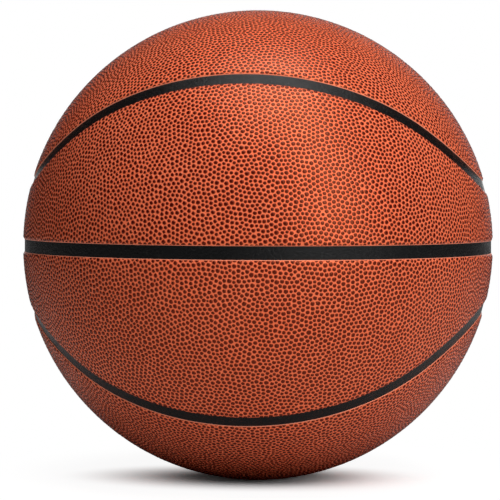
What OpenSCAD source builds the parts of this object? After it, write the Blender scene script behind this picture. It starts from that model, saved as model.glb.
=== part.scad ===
// Size 7 basketball, inflated. A butyl bladder is wound with thread and skinned with a
// rubber carcass, whose raised ribs show as the black seams. Eight foam-backed cover
// panels are cemented into the pockets between the ribs, and a needle valve sits in one.
// The origin is the centre of the ball and +Z points through the upper crown. One seam is
// the equator, in z = 0, and one is the upright great circle, in y = 0. Each of the two
// loop seams bows round a pole and crosses only the upright seam.

/* [Ball] */
// Radius to the top of the cover panels
ball_r = 120.5; // [105:0.5:130]

/* [Seams] */
// Width of the rubber rib that shows between two panels
rib_w = 6.2; // [4:0.1:8]
// Depth of the rib's top below the top of the panels
rib_recess = 0.8; // [0.6:0.1:1.2]
// Height of a loop seam's lowest point over the equator, as a share of the ball's radius
loop_low_share = 0.251; // [0.2:0.001:0.3]
// Radius of the loop seam's round nose seen along X, as a share of the ball's radius
loop_round_share = 0.735; // [0.68:0.001:0.78]
// Angle between each side of the loop seam, seen along X, and the equator
loop_slope = 45; // [42:1:48]

/* [Layers] */
// Thickness of a cover panel
cover_t = 1.4; // [1:0.1:2.5]
// Thickness of the foam backing under a panel
backing_t = 1; // [0.6:0.1:2]
// Thickness of the carcass between the ribs
carcass_t = 1; // [0.8:0.1:2]
// Thickness of the thread winding
winding_t = 0.6; // [0.4:0.1:1.5]
// Wall of the bladder
bladder_t = 0.8; // [0.6:0.1:1.6]

/* [Panel edges] */
// Cement line between a panel's edge and the rib
edge_clearance = 0.1; // [0.05:0.05:0.3]
// Width over which a panel's edge rolls down to the seam
roll_w = 1.8; // [0.8:0.1:3]
// Depth of the rolled edge at the seam
roll_h = 0.5; // [0.2:0.05:0.6]
// Number of steps that stand for the rolled edge
roll_steps = 3; // [1:1:4]

/* [Valve] */
// Height of the valve above the equator, in degrees round the back of the ball
valve_lift = 21; // [19:1:23]
// Diameter of the housing's neck, which fills the hole through all the layers
neck_d = 11; // [9.5:0.5:14]
// Depth of the neck's end below the top of the panel
neck_recess = 0.4; // [0.2:0.1:0.8]
// Cement line round the neck and over the flange
bond_gap = 0.3; // [0.1:0.05:0.5]
// Diameter of the flange bonded to the inside of the bladder
flange_d = 30; // [20:1:40]
// Thickness of that flange
flange_t = 1.2; // [0.8:0.1:2]
// Length of the housing's sleeve inside the flange
sleeve_h = 7; // [5:0.5:10]
// Diameter of the plug's head
plug_head_d = 8; // [7.5:0.25:8.5]
// Thickness of the plug's head
plug_head_t = 2; // [1:0.5:3]
// Diameter of the plug's stem
plug_stem_d = 5.5; // [5:0.25:6.5]
// Diameter of the plug's bulb, which holds it in the housing
plug_bulb_d = 8.5; // [7:0.25:10]
// Length of the bulb
plug_bulb_h = 4; // [2:0.5:6]
// Room round the plug in its housing
plug_clearance = 0.1; // [0.05:0.05:0.2]
// Diameter of the hole that guides the pump needle
needle_d = 2.4; // [1.5:0.1:2.8]
// Depth of that hole, below which the plug is a closed slit
needle_depth = 9; // [5:0.5:11]
// Diameter of the dimple that leads the needle in
lead_in_d = 4.4; // [3:0.2:5]
// Depth of the dimple
lead_in_h = 0.8; // [0.4:0.1:1.5]

/* [Hidden] */
$fn = 180;
// Radii of the layers, from the outside in
rib_top_r = ball_r - rib_recess;
foam_r = ball_r - cover_t;
carcass_r = foam_r - backing_t;
winding_r = carcass_r - carcass_t;
bladder_r = winding_r - winding_t;
air_r = bladder_r - bladder_t;
// Half the room between two panels
seam_half = rib_w / 2 + edge_clearance;
// Centre height and radius of the round nose of the loop seam, seen along X
nose_r = loop_round_share * ball_r;
nose_z = loop_low_share * ball_r + nose_r;
// Places of the valve's steps, as distances from the ball's centre
neck_top_r = ball_r - neck_recess;
head_floor_r = neck_top_r - plug_head_t;
flange_r = air_r - bond_gap;
sleeve_end_r = flange_r - flange_t - sleeve_h;
// Reach of the cutters, past the whole ball
reach = 2 * ball_r;
rubber_black = "#1d1c1b";
butyl_black = "#2b2b2d";
cover_orange = "#b04a22";

// Outline of the region inside a loop seam, seen along X: a round nose that runs on
// into two straight sides. The nose keeps its centre, so each radius is a parallel line.
module loop_outline(radius) {
    side_y = radius * sin(loop_slope);
    side_z = -radius * cos(loop_slope);
    end_z = side_z + (reach - side_y) * tan(loop_slope);
    translate([0, nose_z]) {
        circle(r = radius);
        polygon([[side_y, side_z], [reach, end_z], [-reach, end_z], [-side_y, side_z]]);
    }
}

// Solid inside a loop seam that is moved outward by a given distance
module inside_loop(outward) {
    rotate([90, 0, 90])
        linear_extrude(height = 2 * reach, center = true)
            loop_outline(nose_r + outward);
}

// Block whose near faces are the planes y = -gap and z = floor_z
module quarter(gap, floor_z) {
    translate([-reach, -gap - reach, floor_z])
        cube([2 * reach, reach, reach]);
}

// Room of the upper front crown, kept this far from the middle of its seams
module crown_cell(inset) {
    intersection() {
        quarter(inset, 0);
        inside_loop(-inset);
    }
}

// Room of the upper front belt, kept this far from the middle of its seams
module belt_cell(inset) {
    difference() {
        quarter(inset, inset);
        inside_loop(inset);
    }
}

module cell(belt, inset) {
    if (belt) belt_cell(inset);
    else crown_cell(inset);
}

// A pad of the upper front quarter between two radii, whose edge rolls down in steps
module pad(belt, outer_r, inner_r, edge_w, edge_h, steps) {
    difference() {
        for (i = [0:steps]) {
            run_share = i / max(steps, 1);
            intersection() {
                sphere(r = outer_r - edge_h * run_share * run_share);
                cell(belt, seam_half + edge_w * (1 - run_share));
            }
        }
        sphere(r = inner_r);
    }
}

// Places a pad of the upper front quarter in one of the four quarters
module place(upper, front) {
    mirror([0, 0, upper ? 0 : 1])
        mirror([0, front ? 0 : 1, 0])
            children();
}

// Turns +Z to the valve's direction
module valve_frame() {
    rotate([valve_lift - 90, 0, 0])
        children();
}

// Hole through every layer for the neck of the valve housing
module neck_hole() {
    valve_frame()
        cylinder(h = reach, d = neck_d + 2 * bond_gap);
}

module shell(outer_r, inner_r) {
    difference() {
        sphere(r = outer_r);
        sphere(r = inner_r);
        neck_hole();
    }
}

module bladder() {
    color(butyl_black)
        shell(bladder_r, air_r);
}

module thread_winding() {
    color("#d8d2c0")
        shell(winding_r, bladder_r);
}

// The bands along the four seams, within which the ribs stand up
module seam_bands() {
    cube([2 * reach, 2 * reach, rib_w], center = true);
    cube([2 * reach, rib_w, 2 * reach], center = true);
    for (side = [0, 1])
        mirror([0, 0, side])
            difference() {
                inside_loop(rib_w / 2);
                inside_loop(-rib_w / 2);
            }
}

module carcass() {
    color(rubber_black)
        difference() {
            union() {
                sphere(r = carcass_r);
                intersection() {
                    sphere(r = rib_top_r);
                    seam_bands();
                }
            }
            sphere(r = winding_r);
            neck_hole();
        }
}

// Housing moulded in soft rubber: neck, flange under the bladder's wall and sleeve
module valve_housing() {
    color(butyl_black)
        difference() {
            union() {
                valve_frame()
                    translate([0, 0, sleeve_end_r])
                        cylinder(h = neck_top_r - sleeve_end_r, d = neck_d);
                intersection() {
                    difference() {
                        sphere(r = flange_r);
                        sphere(r = flange_r - flange_t);
                    }
                    valve_frame()
                        cylinder(h = reach, d = flange_d);
                }
            }
            valve_frame() {
                cylinder(h = reach, d = plug_stem_d + 2 * plug_clearance);
                translate([0, 0, head_floor_r])
                    cylinder(h = reach, d = plug_head_d + 2 * plug_clearance);
            }
        }
}

// Soft plug, put in from outside and held by its head and bulb
module valve_plug() {
    color("#3a3a3c")
        valve_frame()
            difference() {
                union() {
                    translate([0, 0, head_floor_r])
                        cylinder(h = plug_head_t, d = plug_head_d);
                    translate([0, 0, sleeve_end_r])
                        cylinder(h = head_floor_r - sleeve_end_r, d = plug_stem_d);
                    translate([0, 0, sleeve_end_r - plug_bulb_h])
                        cylinder(h = plug_bulb_h, d1 = plug_stem_d, d2 = plug_bulb_d);
                }
                translate([0, 0, neck_top_r - needle_depth])
                    cylinder(h = reach, d = needle_d);
                translate([0, 0, neck_top_r - lead_in_h])
                    cylinder(h = lead_in_h, d1 = needle_d, d2 = lead_in_d);
            }
}

module foam(upper, belt, front) {
    color("#e6dcc4")
        difference() {
            place(upper, front)
                pad(belt, foam_r, carcass_r, 0, 0, 0);
            if (upper && belt && !front) neck_hole();
        }
}

module cover(upper, belt, front) {
    color(cover_orange)
        difference() {
            place(upper, front)
                pad(belt, ball_r, foam_r, roll_w, roll_h, roll_steps);
            if (upper && belt && !front) neck_hole();
        }
}

bladder();
valve_housing();
valve_plug();
thread_winding();
carcass();
foam(true, false, true);  // upper_crown_front_foam
foam(true, false, false);  // upper_crown_back_foam
foam(true, true, true);  // upper_belt_front_foam
foam(true, true, false);  // upper_belt_back_foam
foam(false, true, true);  // lower_belt_front_foam
foam(false, true, false);  // lower_belt_back_foam
foam(false, false, true);  // lower_crown_front_foam
foam(false, false, false);  // lower_crown_back_foam
cover(true, false, true);  // upper_crown_front
cover(true, false, false);  // upper_crown_back
cover(true, true, true);  // upper_belt_front
cover(true, true, false);  // upper_belt_back
cover(false, true, true);  // lower_belt_front
cover(false, true, false);  // lower_belt_back
cover(false, false, true);  // lower_crown_front
cover(false, false, false);  // lower_crown_back
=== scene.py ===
# A basketball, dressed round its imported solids: bladder, valve, thread winding and rubber
# carcass from the inside out, then the foam and the pebbled cover panels, then the studio.
import math

import bpy
import numpy as np
from mathutils import Matrix, Vector
from mathutils.geometry import delaunay_2d_cdt


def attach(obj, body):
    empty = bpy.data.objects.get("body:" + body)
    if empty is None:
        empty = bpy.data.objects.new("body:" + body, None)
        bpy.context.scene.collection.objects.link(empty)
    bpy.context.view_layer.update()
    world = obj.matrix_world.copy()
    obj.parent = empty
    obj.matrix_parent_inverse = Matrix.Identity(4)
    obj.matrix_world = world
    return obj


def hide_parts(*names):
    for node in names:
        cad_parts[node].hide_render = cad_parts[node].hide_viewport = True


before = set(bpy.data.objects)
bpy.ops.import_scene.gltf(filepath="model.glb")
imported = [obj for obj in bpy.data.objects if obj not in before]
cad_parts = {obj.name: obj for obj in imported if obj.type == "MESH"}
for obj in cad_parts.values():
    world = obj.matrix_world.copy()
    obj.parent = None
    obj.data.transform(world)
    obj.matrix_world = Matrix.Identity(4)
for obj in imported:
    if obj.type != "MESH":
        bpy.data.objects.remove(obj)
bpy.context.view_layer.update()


# Bladder: a hollow butyl ball, blown up inside everything else. It is moulded dull black
# and dusted with talc, so that it slides inside the winding while that is laid on.

BUTYL_BLACK = (0.012, 0.012, 0.013, 1)
TALC_GREY = (0.16, 0.16, 0.155, 1)
TALC_CLOUD_MM = 9
BUTYL_GRAIN_MM = 0.35


class Wire:
    """A socket in a finish. A sum on wires adds the Math node that works it out."""

    def __init__(self, finish, socket):
        self.finish = finish
        self.socket = socket

    def maths(self, operation, *terms):
        return self.finish.node("ShaderNodeMath", {"operation": operation}, dict(enumerate(terms)))

    def __add__(self, other):
        return self.maths("ADD", self, other)

    def __sub__(self, other):
        return self.maths("SUBTRACT", self, other)

    def __rsub__(self, other):
        return self.maths("SUBTRACT", other, self)

    def __mul__(self, other):
        return self.maths("MULTIPLY", self, other)

    def __truediv__(self, other):
        return self.maths("DIVIDE", self, other)

    def sine(self):
        return self.maths("SINE", self)

    __radd__ = __add__
    __rmul__ = __mul__


class Finish:
    """The nodes of a material or a world. Each comes from node(), as a wire of its output."""

    def __init__(self, owner):
        owner.use_nodes = True
        self.owner = owner
        self.tree = owner.node_tree
        self.tree.nodes.clear()

    def node(self, kind, settings, sockets, output=0):
        """Adds a node. The last node of a finish has no output, so it gives back None."""
        made = self.tree.nodes.new(kind)
        for setting, value in settings.items():
            setattr(made, setting, value)
        for socket, value in sockets.items():
            if isinstance(value, Wire):
                self.tree.links.new(value.socket, made.inputs[socket])
            else:
                made.inputs[socket].default_value = value
        return None if output is None else Wire(self, made.outputs[output])

    def place(self, grow=(1, 1, 1)):
        """Where the surface is in the ball, in metres, times a factor along each axis."""
        here = self.node("ShaderNodeTexCoord", {}, {}, "Object")
        return self.node("ShaderNodeVectorMath", {"operation": "MULTIPLY"}, {0: here, 1: grow})

    def noise(self, lump_mm, detail, rough=0.5):
        """A soft random value round one half, whose lumps are about this far apart."""
        return self.node("ShaderNodeTexNoise", {},
                         {"Vector": self.place(), "Scale": 1000 / lump_mm, "Detail": detail,
                          "Roughness": rough}, "Fac")

    def step(self, value, low, high):
        """Smooth change from 0 to 1 while the value goes from low to high."""
        return self.node("ShaderNodeMapRange", {"interpolation_type": "SMOOTHSTEP"},
                         {0: value, 1: low, 2: high})

    def mix(self, share, first, second):
        """The first colour, which goes over to the second as the share goes from 0 to 1."""
        return self.node("ShaderNodeMix", {"data_type": "RGBA"}, {0: share, 6: first, 7: second}, 2)

    def bump(self, height, depth_mm):
        return self.node("ShaderNodeBump", {}, {"Height": height, "Distance": depth_mm / 1000})

    def skin(self, sockets):
        """Ends the finish with one surface, and gives back the material."""
        surface = self.node("ShaderNodeBsdfPrincipled", {}, sockets)
        self.node("ShaderNodeOutputMaterial", {}, {"Surface": surface}, None)
        return self.owner


def give(names, material):
    """Puts a material in the slots of these CAD nodes."""
    for name in names:
        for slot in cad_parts[name].material_slots:
            slot.material = material


butyl = Finish(bpy.data.materials.new("butyl"))
talc = butyl.step(butyl.noise(TALC_CLOUD_MM, 6, 0.62), 0.42, 0.72)
butyl_grain = butyl.noise(BUTYL_GRAIN_MM, 3)
give(["bladder"], butyl.skin({
    "Base Color": butyl.mix(talc * 0.35, BUTYL_BLACK, TALC_GREY),
    "Roughness": 0.48 + talc * 0.3,
    "Normal": butyl.bump(butyl_grain + talc * 0.6, 0.03),
    "Specular IOR Level": 0.4}))

# Valve: a soft rubber housing whose neck fills the hole through all the layers, with a
# plug pressed into it for the pump needle. Both are moulded, and bonded in before the
# winding is laid on. Skin oil and needle lubricant leave the plug a little shinier.

VALVE_BLACK_AND_ROUGHNESS = {"valve_housing": (0.011, 0.52), "valve_plug": (0.021, 0.42)}
MOULD_GRAIN_MM = 0.16
HANDLING_MM = 2.4

for part_name, (black, dull) in VALVE_BLACK_AND_ROUGHNESS.items():
    rubber = Finish(bpy.data.materials.new(part_name + "_rubber"))
    handling = rubber.step(rubber.noise(HANDLING_MM, 3), 0.35, 0.75)
    give([part_name], rubber.skin({
        "Base Color": rubber.mix(handling * 0.5, (black, black, black * 1.04, 1),
                                 (black * 2.2, black * 2.1, black * 2.0, 1)),
        "Roughness": dull + handling * 0.16,
        "Normal": rubber.bump(rubber.noise(MOULD_GRAIN_MM, 4, 0.6), 0.035),
        "Specular IOR Level": 0.4}))

# Thread winding: some two kilometres of fine polyester thread, laid on the bladder along
# great circles in every direction and set with latex. It keeps the ball round and its
# size true. The solid is one plain shell, so the crossing threads are in its finish.

THREAD_MM = 0.42
THREAD_SHADE = (0.30, 0.27, 0.21, 1)
THREAD_CREAM = (0.72, 0.68, 0.58, 1)
LATEX_MM = 6
# Direction across each lay of threads, and how far apart the patches are where it is on top
THREAD_LAYS = [((0.80, 0.36, 0.48), 11), ((-0.28, 0.88, 0.38), 14), ((0.18, -0.52, 0.83), 17),
               ((0.62, -0.66, -0.42), 13)]

thread = Finish(bpy.data.materials.new("wound_thread"))
thread_height = None
for across, patch_mm in THREAD_LAYS:
    along = thread.node("ShaderNodeVectorMath", {"operation": "DOT_PRODUCT"},
                        {0: thread.place(), 1: across}, "Value")
    round_thread = (along * (2000 * math.pi / THREAD_MM)).sine()
    if thread_height is None:
        thread_height = round_thread
    else:
        uppermost = thread.step(thread.noise(patch_mm, 2), 0.47, 0.53)
        thread_height = thread_height * (1 - uppermost) + round_thread * uppermost
latex = thread.step(thread.noise(LATEX_MM, 5, 0.6), 0.4, 0.7)
# The base colour is darker in the hollows between the threads, as painted shade.
give(["thread_winding"], thread.skin({
    "Base Color": thread.mix(thread_height * 0.4 + 0.5, THREAD_SHADE, THREAD_CREAM),
    "Roughness": 0.62 + latex * 0.2,
    "Normal": thread.bump(thread_height, 0.08),
    "Specular IOR Level": 0.3}))

# Carcass: black rubber moulded over the winding, with raised ribs that show between the
# panels as the seams. The mould leaves it satin with a fine sand grain, hands and the
# floor rub it smoother in places, and dust stays in others.

RIB_BLACK = (0.0045, 0.0045, 0.0047, 1)
DUST_GREY = (0.035, 0.032, 0.030, 1)
SAND_GRAIN_MM = 1.3
RUB_MM = 14
DUST_MM = 3.2

carcass = Finish(bpy.data.materials.new("seam_rubber"))
rib_rub = carcass.step(carcass.noise(RUB_MM, 4, 0.55), 0.35, 0.7)
dust = carcass.step(carcass.noise(DUST_MM, 6, 0.66), 0.56, 0.8)
give(["carcass"], carcass.skin({
    "Base Color": carcass.mix(dust * 0.35, RIB_BLACK, DUST_GREY),
    "Roughness": 0.28 - rib_rub * 0.08 + dust * 0.12,
    "Normal": carcass.bump(carcass.noise(SAND_GRAIN_MM, 5, 0.66), 0.38),
    "Specular IOR Level": 0.21}))

# Foam backings: a thin open-cell pad glued under each cover panel, which gives the ball its
# soft grip. It is cut from sheet, cream coloured, and hidden under the cover.

# The upper front quarter's panels are turned about an axis into the other three quarters
QUARTERS = {"upper_{}_front": (1, 1, 1), "upper_{}_back": (-1, -1, 1),
            "lower_{}_front": (-1, 1, -1), "lower_{}_back": (1, -1, -1)}
PANELS = [(quarter.format(kind), kind, turn)
          for kind in ("crown", "belt") for quarter, turn in QUARTERS.items()]
CELLS_PER_M = 2600
FADING_MM = 12
FOAM_PORE_SHADE_YELLOW = (0.62, 0.52, 0.34, 1)
FOAM_CREAM = (0.84, 0.78, 0.62, 1)

foam = Finish(bpy.data.materials.new("backing_foam"))
cells = foam.node("ShaderNodeTexVoronoi", {"feature": "F1"},
                  {"Vector": foam.place(), "Scale": CELLS_PER_M}, "Distance")
cell_walls = foam.step(cells, 0.1, 0.62)
fading = foam.noise(FADING_MM, 4)
# The base colour is darker yellow in the cells' pores, as painted shade, and the fading varies the
# tone at random.
give([name + "_foam" for name, kind, turn in PANELS], foam.skin({
    "Base Color": foam.mix(cell_walls * 0.5 + fading * 0.4, FOAM_PORE_SHADE_YELLOW, FOAM_CREAM),
    "Roughness": 0.9 - cell_walls * 0.1,
    "Normal": foam.bump(cell_walls, 0.12),
    "Specular IOR Level": 0.2}))

# Cover panels: eight pieces of orange composite leather, cemented into the pockets between
# the ribs. Pebbles are pressed into the sheet in wandering rows, dark red on top, with painted
# shade on their flanks and a painted highlight in the bright valleys, and each edge rolls
# down to the seam.

# Sizes of the solids, in mm, and the loop seam's round nose as seen along X
BALL_R = 120.5
FOAM_R = 119.1
SEAM_HALF = 3.2
NOSE_R = 0.735 * BALL_R
NOSE_Z = 0.251 * BALL_R + NOSE_R
ROLL_W = 1.8
ROLL_H = 0.5
VALVE_LIFT = math.radians(21)
NECK_HOLE_R = 5.8
VALVE_AXIS = np.array([0, -math.cos(VALVE_LIFT), math.sin(VALVE_LIFT)])

# Pebbles, in mm: the foot is where the mesh meets the sheet, and the round is the outline
# of the dark top. Each ring is a share of the way to the foot and a share of the height.
PEBBLE_PITCH = 2.34
PEBBLE_SPREAD = 0.09
PEBBLE_SIZES = (0.65, 1.4)
PEBBLE_H = 0.2
TALL_SPREAD = 0.12
TALL_RANGE = (0.6, 1.3)
PEBBLE_FOOT = 1.14
PEBBLE_ROUND = 1.10
PEBBLE_RINGS = [(0.48, 0.95), (0.76, 0.52), (1.0, 0.0)]
FOOT_REACH = 0.88
PEBBLE_MARGIN = 0.55
RIM_RISE = 0.3

# How the pebbles settle. The room kept round a panel, the scatter, a push's reach and the
# longest pair are in pitches, and each round moves a pebble by a share of its pushes.
SETTLE_ROUNDS = 36
ROUNDS_PER_PAIRING = 3
ROOM_ROUND = 4
SCATTER = 0.45
PUSH_REACH = 0.6
PUSH_SHARE = 0.2
LONGEST_PAIR = 2.2
FIRST_SEED = 7100

# The rim is found from a panel's middle on the flat map, by halving the rays that cross it.
# Its points then slide over the ball in a few rounds, to the place of each row below it.
BELT_MIDDLE = (0.0, 0.17)
CROWN_MIDDLE = (0.0, 0.64)
RIM_RAYS = 6000
LONGEST_RAY = 1.6
HALVINGS = 40
SLIDE_ROUNDS = 6
LEAST_SLOPE = 0.05

# Edge of the sheet, in mm: its corners are rounded, and rows of points run down its side.
# A row has its distance inside the edge, its radius and the radius that the edge is taken at.
CORNER_MM = 2.5
RIM_IN = 0.3
RIM_STEP = 0.6
ROUND_IN = 0.08
ROUND_DROP = 0.03
CUT_DROP = 0.14
ROUND_R = BALL_R - PEBBLE_H - ROLL_H * (1 - ROUND_IN / ROLL_W) ** 2 - ROUND_DROP
CUT_R = BALL_R - PEBBLE_H - ROLL_H - CUT_DROP
EDGE_ROWS = [(ROUND_IN, ROUND_R, BALL_R), (0.0, CUT_R, BALL_R), (0.0, FOAM_R, FOAM_R)]
BACK_MARGIN = 4
BACK_THINNING = 14


def loop_side(p):
    """How far each point lies on the belt's side of the loop seam's middle, in mm."""
    y = np.abs(p[:, 1])
    z = p[:, 2] - NOSE_Z
    past_nose = (y + z) > 0
    return np.where(past_nose, (y - z) * math.sqrt(0.5), np.hypot(y, z)) - NOSE_R


def soft_least(a, b, reach):
    """The lesser of two distances, rounded off where they are nearly the same."""
    share = np.maximum(reach - np.abs(a - b), 0) / reach
    return np.minimum(a, b) - share * share * reach / 4


def edge_gap(p, belt, valve):
    """How far each point lies inside its panel's edge, in mm, in the upper front quarter."""
    gap = soft_least(-p[:, 1], loop_side(p) * (1 if belt else -1), CORNER_MM)
    if belt:
        gap = soft_least(gap, p[:, 2], CORNER_MM)
    gap = gap - SEAM_HALF
    if valve:
        off_axis = p - np.outer(p @ VALVE_AXIS, VALVE_AXIS)
        hole_gap = np.linalg.norm(off_axis, axis=1) - NECK_HOLE_R
        gap = np.where(p @ VALVE_AXIS > 0, np.minimum(gap, hole_gap), gap)
    return gap


def on_ball(p, radius):
    return p * (radius / np.linalg.norm(p, axis=1))[:, None]


def flat_map(p):
    """Flattens the front half of the ball as seen from its back pole, which keeps circles."""
    return p[:, [0, 2]] / (np.linalg.norm(p, axis=1) - p[:, 1])[:, None]


def round_map(q, radius):
    """Puts points of the flat map back on the ball."""
    size = (q * q).sum(1)
    return radius * np.column_stack([2 * q[:, 0], size - 1, 2 * q[:, 1]]) / (1 + size)[:, None]


def slide(p, level, radius, gap_of):
    """Moves points over the ball until they lie the given distance inside the edge."""
    p = on_ball(p, radius)
    nudge = 0.01
    for _ in range(SLIDE_ROUNDS):
        gap = gap_of(p)
        slope = np.column_stack([(gap_of(p + axis) - gap) / nudge for axis in np.eye(3) * nudge])
        slope -= p * ((slope * p).sum(1) / radius ** 2)[:, None]
        steep = np.maximum((slope * slope).sum(1), LEAST_SLOPE)
        p = on_ball(p + slope * ((level - gap) / steep)[:, None], radius)
    return p


def evenly(line, spacing):
    """Points at even steps round a closed line."""
    closed = np.vstack([line, line[:1]])
    run = np.concatenate([[0], np.cumsum(np.linalg.norm(np.diff(closed, axis=0), axis=1))])
    count = int(round(run[-1] / spacing))
    steps = np.arange(count) * run[-1] / count
    return np.column_stack([np.interp(steps, run, closed[:, k]) for k in range(3)])


def outer_rim(belt):
    """The closed line just inside a panel's outer edge, found on rays from its middle."""
    middle = np.array(BELT_MIDDLE if belt else CROWN_MIDDLE)
    angles = np.arange(RIM_RAYS) * (2 * math.pi / RIM_RAYS)
    rays = np.column_stack([np.cos(angles), np.sin(angles)])
    near = np.zeros(RIM_RAYS)
    far = np.full(RIM_RAYS, LONGEST_RAY)
    for _ in range(HALVINGS):
        half = (near + far) / 2
        inside = edge_gap(round_map(middle + rays * half[:, None], BALL_R), belt, False) > RIM_IN
        near = np.where(inside, half, near)
        far = np.where(inside, far, half)
    return evenly(round_map(middle + rays * near[:, None], BALL_R), RIM_STEP)


def hole_rim():
    """The line round the valve's hole, clockwise, so that the sheet is on its left."""
    across = np.array([1.0, 0, 0])
    up = np.cross(VALVE_AXIS, across)
    reach = NECK_HOLE_R + RIM_IN
    count = int(round(2 * math.pi * reach / RIM_STEP))
    turn = -np.arange(count) * (2 * math.pi / count)
    ring = np.outer(np.cos(turn), across) + np.outer(np.sin(turn), up)
    return ring * reach + VALVE_AXIS * math.sqrt(BALL_R ** 2 - reach ** 2)


def triangles(p, loops=()):
    """Corner numbers of the triangles between points, kept inside the first closed loop
    and out of the others, if there are any."""
    edges = [(loop[k - 1], loop[k]) for loop in loops for k in range(len(loop))]
    found = delaunay_2d_cdt([Vector(q) for q in flat_map(p)], edges, [], 1 if loops else 0, 0)
    tri = np.array(found[2])
    out = np.cross(p[tri[:, 1]] - p[tri[:, 0]], p[tri[:, 2]] - p[tri[:, 0]])
    inward = (out * p[tri[:, 0]]).sum(1) < 0
    tri[inward] = tri[inward][:, ::-1]
    for hole in loops[1:]:
        tri = tri[~np.isin(tri, hole).all(1)]
    return tri


def settle_pebbles(belt, chance):
    """Middles and sizes of pebbles that pushed each other into rows on and round a panel.
    They start on an even spiral round the whole ball, one to each six-sided cell."""
    count = int(4 * math.pi * BALL_R ** 2 / (math.sqrt(0.75) * PEBBLE_PITCH ** 2))
    spiral = np.arange(count) + 0.5
    height = 1 - 2 * spiral / count
    turn = spiral * math.pi * (3 - math.sqrt(5))
    wide = np.sqrt(1 - height ** 2)
    p = np.column_stack([wide * np.cos(turn), height, wide * np.sin(turn)]) * BALL_R
    p = p[edge_gap(p, belt, False) > -ROOM_ROUND * PEBBLE_PITCH]
    p = on_ball(p + chance.normal(0, SCATTER * PEBBLE_PITCH, p.shape), BALL_R)
    size = np.clip(chance.normal(1, PEBBLE_SPREAD, len(p)), *PEBBLE_SIZES)
    for settle_round in range(SETTLE_ROUNDS):
        if settle_round % ROUNDS_PER_PAIRING == 0:
            tri = triangles(p)
            pairs = np.sort(np.vstack([tri[:, [0, 1]], tri[:, [1, 2]], tri[:, [2, 0]]]), axis=1)
            pairs = np.unique(pairs, axis=0)
            length = np.linalg.norm(p[pairs[:, 0]] - p[pairs[:, 1]], axis=1)
            stretched = length > LONGEST_PAIR * PEBBLE_PITCH
            held = np.unique(pairs[stretched])
            pairs = pairs[~stretched]
            rest = PUSH_REACH * PEBBLE_PITCH * (size[pairs[:, 0]] + size[pairs[:, 1]])
        apart = p[pairs[:, 0]] - p[pairs[:, 1]]
        length = np.linalg.norm(apart, axis=1)
        push = apart * (np.clip(rest - length, 0, None) / length)[:, None]
        move = np.zeros(p.shape)
        np.add.at(move, pairs[:, 0], push)
        np.add.at(move, pairs[:, 1], -push)
        move[held] = 0
        p = on_ball(p + PUSH_SHARE * move, BALL_R)
    return p, size


def raise_pebbles(flat, tri, grown, tall, rim_size, gap_of):
    """Points of the pebbled face, which starts with the flat points: each pebble gets a
    point of every ring in each of its triangles. Gives the numbers of those points too."""
    corner = flat[tri]
    spoke = corner.mean(1)[:, None, :] - corner
    length = np.linalg.norm(spoke, axis=2)
    foot = np.minimum(PEBBLE_FOOT * grown[tri], FOOT_REACH * length)
    spoke = spoke / length[:, :, None]
    on_pebble = tri >= rim_size
    count = on_pebble.sum()
    ring_ids = []
    ring_points = []
    for ring, (share, rise) in enumerate(PEBBLE_RINGS):
        ids = tri.copy()
        ids[on_pebble] = len(flat) + ring * count + np.arange(count)
        ring_ids.append(ids)
        ring_points.append((corner + spoke * foot[:, :, None] * share)[on_pebble])
    points = np.vstack([flat] + ring_points)
    rises = np.concatenate([np.full(rim_size, RIM_RISE), tall[rim_size:]]
                           + [rise * tall[tri[on_pebble]] for share, rise in PEBBLE_RINGS])
    roll = ROLL_H * np.clip(1 - gap_of(points) / ROLL_W, 0, 1) ** 2
    return on_ball(points, 1) * (BALL_R - PEBBLE_H + PEBBLE_H * rises - roll)[:, None], ring_ids


def stitch_pebbles(tri, ring_ids, rim_size):
    """Faces between the pebbles and then those on them, and each face's pebble or -1.
    A side is numbered by its triangle, and its neighbour is the same side run backward."""
    start = tri.T.ravel()
    end = np.roll(tri, -1, axis=1).T.ravel()
    sides = list(zip(start.tolist(), end.tolist()))
    number = {side: k for k, side in enumerate(sides)}
    other = np.array([number.get((b, a), -1) for a, b in sides])
    here = np.flatnonzero(other >= 0)
    there = other[here]

    def corner_of(ids, side, onward):
        return ids[side % len(tri), (side // len(tri) + onward) % 3]

    left = [corner_of(ids, here, 0) for ids in ring_ids]
    right = [corner_of(ids, there, 1) for ids in ring_ids]
    left_far = corner_of(ring_ids[-1], here, 1)
    right_far = corner_of(ring_ids[-1], there, 0)
    first = start[here]
    from_pebble = first >= rim_size
    to_pebble = end[here] >= rim_size
    valleys = np.column_stack([right[-1], right_far, left_far, left[-1]])
    to_rim = np.column_stack([right[-1], right_far, left[-1]])
    between = [ring_ids[-1], valleys[from_pebble & to_pebble & (first < end[here])],
               to_rim[from_pebble & ~to_pebble]]
    bands = [np.column_stack([right[k - 1], right[k], left[k], left[k - 1]])[from_pebble]
             for k in range(1, len(PEBBLE_RINGS))]
    bands.append(np.column_stack([first, right[0], left[0]])[from_pebble])
    faces = [face for batch in between + bands for face in batch.tolist()]
    pebbles = [-1] * sum(len(batch) for batch in between)
    pebbles += (first[from_pebble] - rim_size).tolist() * len(bands)
    return faces, np.array(pebbles)


def edge_band(ring, fresh, anticlockwise):
    """Faces that join a row of points down the sheet's edge to the row before it."""
    band = [[ring[k - 1], fresh[k - 1], fresh[k], ring[k]] for k in range(len(ring))]
    return band if anticlockwise else [face[::-1] for face in band]


def runs_anticlockwise(line):
    """True if a closed line runs anticlockwise, as seen from outside the ball."""
    area = np.cross(line, np.roll(line, -1, axis=0)).sum(0)
    return float(area @ line.mean(0)) > 0


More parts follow.
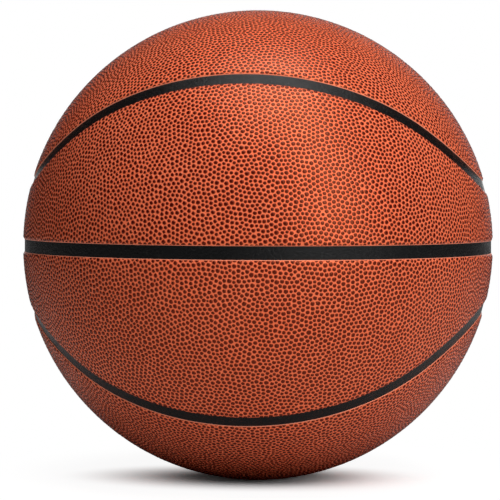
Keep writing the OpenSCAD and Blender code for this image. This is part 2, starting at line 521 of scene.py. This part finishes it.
def pebbled_sheet(name, belt, valve, turn, chance):
    """Mesh of one panel: domed pebbles on a sheet with rolled edges and a flat back."""
    def gap_of(p):
        return edge_gap(p, belt, valve)

    rims = [outer_rim(belt), hole_rim()] if valve else [outer_rim(belt)]
    starts = np.cumsum([0] + [len(rim) for rim in rims]).tolist()
    loops = [list(range(first, last)) for first, last in zip(starts, starts[1:])]
    rim_size = starts[-1]
    settled, size = settle_pebbles(belt, chance)
    kept = np.flatnonzero(gap_of(settled) > PEBBLE_MARGIN)
    seeds = settled[kept]
    flat = np.vstack(rims + [seeds])
    tri = triangles(flat, loops)
    grown = np.concatenate([np.ones(rim_size), size[kept]])
    tall = np.clip(chance.normal(1, TALL_SPREAD, len(flat)), *TALL_RANGE)
    points, ring_ids = raise_pebbles(flat, tri, grown, tall, rim_size, gap_of)
    faces, pebbles = stitch_pebbles(tri, ring_ids, rim_size)

    face_size = len(points)
    foot_rings = []
    for loop in loops:
        ring = loop
        anticlockwise = runs_anticlockwise(points[loop])
        for level, radius, edge_radius in EDGE_ROWS:
            row = on_ball(slide(flat[loop], level, edge_radius, gap_of), radius)
            fresh = list(range(len(points), len(points) + len(row)))
            faces += edge_band(ring, fresh, anticlockwise)
            points = np.vstack([points, row])
            ring = fresh
        foot_rings.append(ring)

    coarse = on_ball(seeds[gap_of(seeds) > BACK_MARGIN][::BACK_THINNING], FOAM_R)
    back_ids = np.concatenate(foot_rings + [len(points) + np.arange(len(coarse))])
    points = np.vstack([points, coarse])
    smooth_faces = len(faces)
    faces += back_ids[triangles(points[back_ids], loops)[:, ::-1]].tolist()

    # The finish shades each pebble from its middle, so a face beside the rim, where no
    # pebble fits, takes the nearest one. Faces with none keep a middle that is far away.
    nearest = np.full(len(faces), -1)
    nearest[np.flatnonzero(pebbles >= 0)] = kept[pebbles[pebbles >= 0]]
    for k in np.flatnonzero(pebbles < 0):
        if min(faces[k]) < rim_size:
            spot = points[faces[k]].mean(0)
            nearest[k] = np.argmin(((settled - spot) ** 2).sum(1))
    middles = np.where((nearest >= 0)[:, None], settled[nearest], 0) * np.array(turn) / BALL_R
    foots = np.where(nearest >= 0, size[nearest] * PEBBLE_ROUND, 1)
    corners = [len(face) for face in faces]
    cut_edge = np.where(np.arange(len(points)) < face_size, 0.0, 1.0)

    mesh = bpy.data.meshes.new(name)
    mesh.from_pydata((points * np.array(turn) / 1000).tolist(), [], faces)
    mesh.polygons.foreach_set("use_smooth", np.arange(len(faces)) < smooth_faces)
    for attribute, kind, domain, field, values in (
            ("cut_edge", "FLOAT", "POINT", "value", cut_edge),
            ("pebble_middle", "FLOAT_VECTOR", "CORNER", "vector", np.repeat(middles, corners, axis=0)),
            ("pebble_foot", "FLOAT", "CORNER", "value", np.repeat(foots, corners))):
        mesh.attributes.new(attribute, kind, domain).data.foreach_set(field, values.ravel())
    mesh.update()
    return mesh


# Each colour goes between two tones with the hide's clouds, and the tops' with their blotches
# Painted shade: the flank reds darken every pebble's slopes all round, between its top and the
# valleys.
FLANK_SHADE_REDS = ((0.24, 0.014, 0.003, 1), (0.30, 0.021, 0.005, 1))
# Painted highlight: the valley oranges are the leather's orange, raised to full brightness along the
# valley lines.
VALLEY_HIGHLIGHT_ORANGES = ((1.0, 0.174, 0.068, 1), (1.0, 0.220, 0.100, 1))
TOP_REDS = ((0.045, 0.0004, 0.0002, 1), (0.085, 0.0008, 0.0004, 1))
# The cut edge orange is a pale line along each seam: partly the cut edge's own paler colour, partly a
# painted highlight on the rolled edge.
CUT_EDGE_HIGHLIGHT_ORANGE = (0.95, 0.42, 0.30, 1)
HIDE_CLOUD_MM = 26
BLOTCH_MM = 1.1
LEATHER_GRAIN_MM = 0.20

cover = Finish(bpy.data.materials.new("pebbled_cover"))
direction = cover.node("ShaderNodeVectorMath", {"operation": "NORMALIZE"}, {0: cover.place()})
middle = cover.node("ShaderNodeAttribute", {"attribute_name": "pebble_middle"}, {}, "Vector")
foot = cover.node("ShaderNodeAttribute", {"attribute_name": "pebble_foot"}, {}, "Fac")
cut_edge = cover.node("ShaderNodeAttribute", {"attribute_name": "cut_edge"}, {}, "Fac")
off_middle = cover.node("ShaderNodeVectorMath", {"operation": "DISTANCE"},
                        {0: direction, 1: middle}, "Value")
hide_cloud = cover.noise(HIDE_CLOUD_MM, 5, 0.55)
blotch = cover.noise(BLOTCH_MM, 4, 0.6)
leather_grain = cover.noise(LEATHER_GRAIN_MM, 4, 0.62)
outward = off_middle * BALL_R / foot + (blotch - 0.5) * 0.4
on_top = 1 - cover.step(outward, 0.38, 0.99)
in_valley = cover.step(outward, 0.76, 1.04)
dome = 1 - cover.step(outward, 0.41, 1.11)
flank_shade_colour = cover.mix(hide_cloud, *FLANK_SHADE_REDS)
valley_highlight_colour = cover.mix(hide_cloud, *VALLEY_HIGHLIGHT_ORANGES)
# The sheet's base colour carries painted shade on the flanks and a painted highlight in the valleys
# and along the cut edges.
sheet_colour_and_light = cover.mix(cut_edge * 0.7, cover.mix(in_valley, flank_shade_colour, valley_highlight_colour),
                         CUT_EDGE_HIGHLIGHT_ORANGE)
cover_skin = cover.skin({
    "Base Color": cover.mix(on_top, sheet_colour_and_light, cover.mix(blotch, *TOP_REDS)),
    "Roughness": 0.32 - on_top * 0.17 + (blotch - 0.5) * 0.06,
    "Normal": cover.bump(dome + leather_grain * 0.02, 0.36),
    "IOR": 1.62,
    "Specular IOR Level": 0.95,
    "Specular Tint": (1.0, 0.27, 0.12, 1)})

for order, (name, kind, turn) in enumerate(PANELS):
    chance = np.random.default_rng(FIRST_SEED + order)
    sheet_mesh = pebbled_sheet(name + "_pebbled", kind == "belt", name == "upper_belt_back",
                               turn, chance)
    sheet_mesh.materials.append(cover_skin)
    panel = bpy.data.objects.new(name + "_pebbled", sheet_mesh)
    bpy.context.scene.collection.objects.link(panel)
    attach(panel, "root")
    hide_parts(name)

# Studio: the ball stands on a plain white floor before a white background, in the even
# light of the room. One tall soft lamp stands at the right of the front, and a broad one
# hangs high over it.

# Level of the room's light on the ball, and of the room as gloss mirrors it
ROOM_LIGHT = 0.095
ROOM_MIRRORED = 0.03


def ray_is(finish, kind):
    return finish.node("ShaderNodeLightPath", {}, {}, "Is " + kind + " Ray")


room = bpy.data.worlds.new("room")
bpy.context.scene.world = room
studio = Finish(room)
toward = studio.node("ShaderNodeTexCoord", {}, {}, "Generated")
behind = studio.node("ShaderNodeVectorMath", {"operation": "DOT_PRODUCT"},
                     {0: toward, 1: (0, 1, 0)}, "Value")
mirrored = ray_is(studio, "Glossy") + ray_is(studio, "Transmission")
white_seen = ray_is(studio, "Camera") + mirrored * studio.step(behind, 0.86, 0.985)
strength = white_seen + ray_is(studio, "Diffuse") * ROOM_LIGHT + mirrored * ROOM_MIRRORED
backdrop = studio.node("ShaderNodeBackground", {}, {"Color": (1, 1, 1, 1), "Strength": strength})
studio.node("ShaderNodeOutputWorld", {}, {"Surface": backdrop}, None)

# The camera sees white paper with the ball's shadow, which fades out round the ball. The
# lamps alone leave it grey, so that its own colour is raised until open paper is white.
# What the ball gets back from it is pale grey paper, made dark under the ball itself as a painted
# shadow.
FLOOR_Z = -0.1204
FLOOR_HALF = 6
PAPER_RAISED = 2.6
PAPER_GREY = 0.66
PAPER_MIRRORED = 0.56
PAPER_SHADOW_DARK = 0.03
CONTACT_REACH = (0.10, 0.052)
SHADOW_REACH = (0.25, 0.25)
SHADOW_SHARE = 0.07

floor_mesh = bpy.data.meshes.new("floor")
floor_mesh.from_pydata([(x * FLOOR_HALF, y * FLOOR_HALF, FLOOR_Z)
                        for x, y in ((-1, -1), (1, -1), (1, 1), (-1, 1))], [], [(0, 1, 2, 3)])
floor = bpy.data.objects.new("floor", floor_mesh)
bpy.context.scene.collection.objects.link(floor)
paper = Finish(bpy.data.materials.new("white_floor"))


def matt(grey):
    return paper.node("ShaderNodeBsdfDiffuse", {}, {"Color": (grey, grey, grey, 1)})


def shader_mix(share, first, second):
    return paper.node("ShaderNodeMixShader", {}, {0: share, 1: first, 2: second})


def off_ball(reach_x, reach_y):
    """How far a spot on the floor lies from under the ball, in reaches along X and Y."""
    return paper.node("ShaderNodeVectorMath", {"operation": "LENGTH"},
                      {0: paper.place((1 / reach_x, 1 / reach_y, 0))}, "Value")


open_paper = shader_mix(ray_is(paper, "Glossy"), matt(PAPER_GREY), matt(PAPER_MIRRORED))
# Painted shadow: rays from the ball find dark paper close under it.
unseen_paper = shader_mix(paper.step(off_ball(1, 1), 0.03, 0.08), matt(PAPER_SHADOW_DARK), open_paper)
past_contact = paper.step(off_ball(*CONTACT_REACH), 0.30, 1.05)
past_shadow = paper.step(off_ball(*SHADOW_REACH), 0.3, 0.65)
white_share = past_contact * (1 - SHADOW_SHARE) + past_shadow * SHADOW_SHARE
plain_white = paper.node("ShaderNodeEmission", {}, {"Color": (1, 1, 1, 1), "Strength": 1.0})
seen_paper = shader_mix(white_share, matt(PAPER_RAISED), plain_white)
paper.node("ShaderNodeOutputMaterial", {},
           {"Surface": shader_mix(ray_is(paper, "Camera"), unseen_paper, seen_paper)}, None)
floor_mesh.materials.append(paper.owner)


def softbox(name, watts, width, height, azimuth, elevation, distance):
    """A lamp that looks at the ball. Azimuth 0 is in front and 90 to the right."""
    data = bpy.data.lights.new(name, "AREA")
    data.shape = "RECTANGLE"
    data.size = width
    data.size_y = height
    data.energy = watts
    lamp = bpy.data.objects.new(name, data)
    bpy.context.scene.collection.objects.link(lamp)
    a = math.radians(azimuth)
    e = math.radians(elevation)
    outward = Vector((math.sin(a) * math.cos(e), -math.cos(a) * math.cos(e), math.sin(e)))
    lamp.location = outward * distance
    lamp.rotation_mode = "QUATERNION"
    lamp.rotation_quaternion = outward.to_track_quat("Z", "Y")


softbox("side_softbox", watts=10.1, width=0.62, height=1.4, azimuth=38, elevation=25, distance=1.4)
softbox("top_softbox", watts=13.8, width=0.85, height=1.05, azimuth=26, elevation=75, distance=1.3)

# Camera: the photograph's viewpoint, found from the ball's outline and its seams. The
# distance is in ball radii, and the lens and its shift bring the ball to its place and
# size in the picture.

IMAGE_PX = 500
BALL_PX = (257.97, 245.1)
BALL_R_PX = 234.9
VIEW_DISTANCE = 8.855
VIEW_AZIMUTH = math.radians(4.176)
VIEW_ELEVATION = math.radians(1.784)
VIEW_ROLL = math.radians(0.199)

back = Vector((math.sin(VIEW_AZIMUTH) * math.cos(VIEW_ELEVATION),
               -math.cos(VIEW_AZIMUTH) * math.cos(VIEW_ELEVATION), math.sin(VIEW_ELEVATION)))
level = Vector((math.cos(VIEW_AZIMUTH), math.sin(VIEW_AZIMUTH), 0))
upright = back.cross(level)
right = level * math.cos(VIEW_ROLL) + upright * math.sin(VIEW_ROLL)
up = upright * math.cos(VIEW_ROLL) - level * math.sin(VIEW_ROLL)
lens = bpy.data.cameras.new("camera")
lens.sensor_width = 36
lens.lens = lens.sensor_width * BALL_R_PX * math.sqrt(VIEW_DISTANCE ** 2 - 1) / IMAGE_PX
lens.shift_x = (IMAGE_PX / 2 - BALL_PX[0]) / IMAGE_PX
lens.shift_y = (BALL_PX[1] - IMAGE_PX / 2) / IMAGE_PX
camera = bpy.data.objects.new("camera", lens)
bpy.context.scene.collection.objects.link(camera)
camera.matrix_world = Matrix.Translation(back * VIEW_DISTANCE * BALL_R / 1000) @ Matrix(
    (right, up, back)).transposed().to_4x4()
bpy.context.scene.camera = camera
bpy.context.scene.view_settings.view_transform = "Standard"
